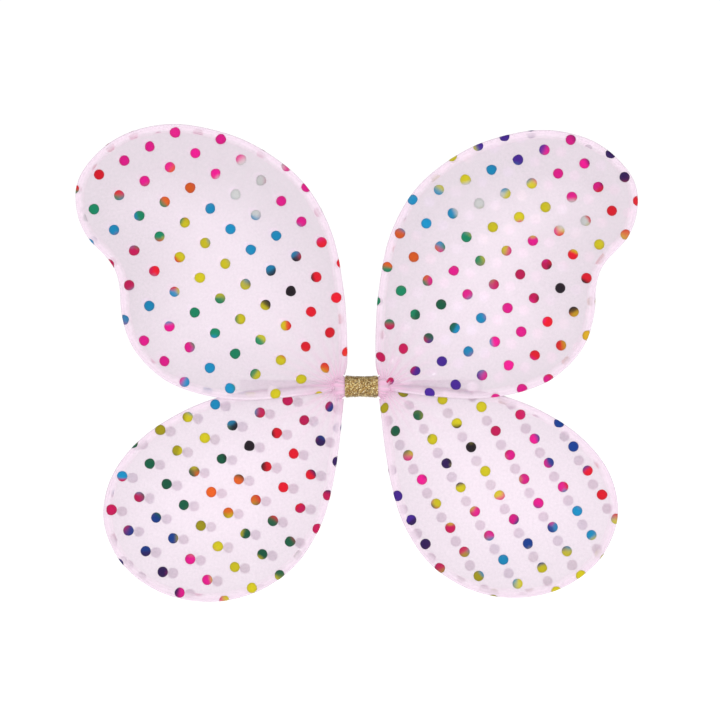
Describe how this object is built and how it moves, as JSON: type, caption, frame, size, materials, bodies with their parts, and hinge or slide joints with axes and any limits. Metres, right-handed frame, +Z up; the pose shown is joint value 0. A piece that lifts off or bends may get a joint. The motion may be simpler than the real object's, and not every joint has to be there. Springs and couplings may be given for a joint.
{
  "type": "fairy wings",
  "caption": "Wire-framed butterfly wings of sheer dotted fabric on a glitter-wrapped centre, with elastic arm loops behind.",
  "frame": {"origin": "middle of the glitter band's flat back face, which lies against the wearer", "axes": "+X to the viewer's right across the span, -Y out of the show side, +Y towards the wearer, +Z up"},
  "size_m": [0.5023, 0.1263, 0.4273],
  "materials": {
    "sheer_fabric": "sheer two-layer organza",
    "hem": "folded and glued hem",
    "frame_wire": "white-coated steel wire",
    "elastic": "ribbed white elastic",
    "glitter": "coarse gold glitter",
    "tape": "matt binding tape"
  },
  "bodies": {
    "centre": {"glitter_band": "glitter", "core_tape": "tape", "left_gather": "sheer_fabric", "right_gather": "sheer_fabric", "left_upper_inner_wire_tail": "frame_wire", "left_upper_outer_wire_tail": "frame_wire", "right_upper_inner_wire_tail": "frame_wire", "right_upper_outer_wire_tail": "frame_wire", "left_lower_inner_wire_tail": "frame_wire", "left_lower_outer_wire_tail": "frame_wire", "right_lower_inner_wire_tail": "frame_wire", "right_lower_outer_wire_tail": "frame_wire", "left_loop_inner_end": "elastic", "left_loop_outer_end": "elastic", "right_loop_inner_end": "elastic", "right_loop_outer_end": "elastic"},
    "left_root": {"left_neck": "sheer_fabric"},
    "right_root": {"right_neck": "sheer_fabric"},
    "left_upper_wing": {"left_upper_front_panel": "sheer_fabric", "left_upper_back_panel": "sheer_fabric", "left_upper_hem": "hem", "left_upper_wire": "frame_wire"},
    "right_upper_wing": {"right_upper_front_panel": "sheer_fabric", "right_upper_back_panel": "sheer_fabric", "right_upper_hem": "hem", "right_upper_wire": "frame_wire"},
    "left_lower_wing": {"left_lower_front_panel": "sheer_fabric", "left_lower_back_panel": "sheer_fabric", "left_lower_hem": "hem", "left_lower_wire": "frame_wire"},
    "right_lower_wing": {"right_lower_front_panel": "sheer_fabric", "right_lower_back_panel": "sheer_fabric", "right_lower_hem": "hem", "right_lower_wire": "frame_wire"},
    "left_strap": {"left_arm_loop": "elastic"},
    "right_strap": {"right_arm_loop": "elastic"}
  },
  "joints": [
    {"name": "left_flap", "type": "hinge", "parent": "centre", "child": "left_root", "pos_m": [-0.02, -0.0073, 0], "axis": [0, 0, 1], "range_deg": [-15, 80]},
    {"name": "right_flap", "type": "hinge", "parent": "centre", "child": "right_root", "pos_m": [0.02, -0.0073, 0], "axis": [0, 0, -1], "range_deg": [-15, 80]},
    {"name": "left_upper_sweep", "type": "hinge", "parent": "left_root", "child": "left_upper_wing", "pos_m": [-0.02, -0.0073, 0], "axis": [0, 1, 0], "range_deg": [-8, 8]},
    {"name": "right_upper_sweep", "type": "hinge", "parent": "right_root", "child": "right_upper_wing", "pos_m": [0.02, -0.0073, 0], "axis": [0, -1, 0], "range_deg": [-8, 8]},
    {"name": "left_lower_sweep", "type": "hinge", "parent": "left_root", "child": "left_lower_wing", "pos_m": [-0.02, -0.0073, 0], "axis": [0, 1, 0], "range_deg": [-8, 8]},
    {"name": "right_lower_sweep", "type": "hinge", "parent": "right_root", "child": "right_lower_wing", "pos_m": [0.02, -0.0073, 0], "axis": [0, -1, 0], "range_deg": [-8, 8]},
    {"name": "left_strap_swing", "type": "hinge", "parent": "centre", "child": "left_strap", "pos_m": [-0.0172, -0.0021, 0], "axis": [0, 0, 1], "range_deg": [-12, 12], "stiffness_Nm_per_rad": 0.002},
    {"name": "right_strap_swing", "type": "hinge", "parent": "centre", "child": "right_strap", "pos_m": [0.0172, -0.0021, 0], "axis": [0, 0, -1], "range_deg": [-12, 12], "stiffness_Nm_per_rad": 0.002}
  ]
}
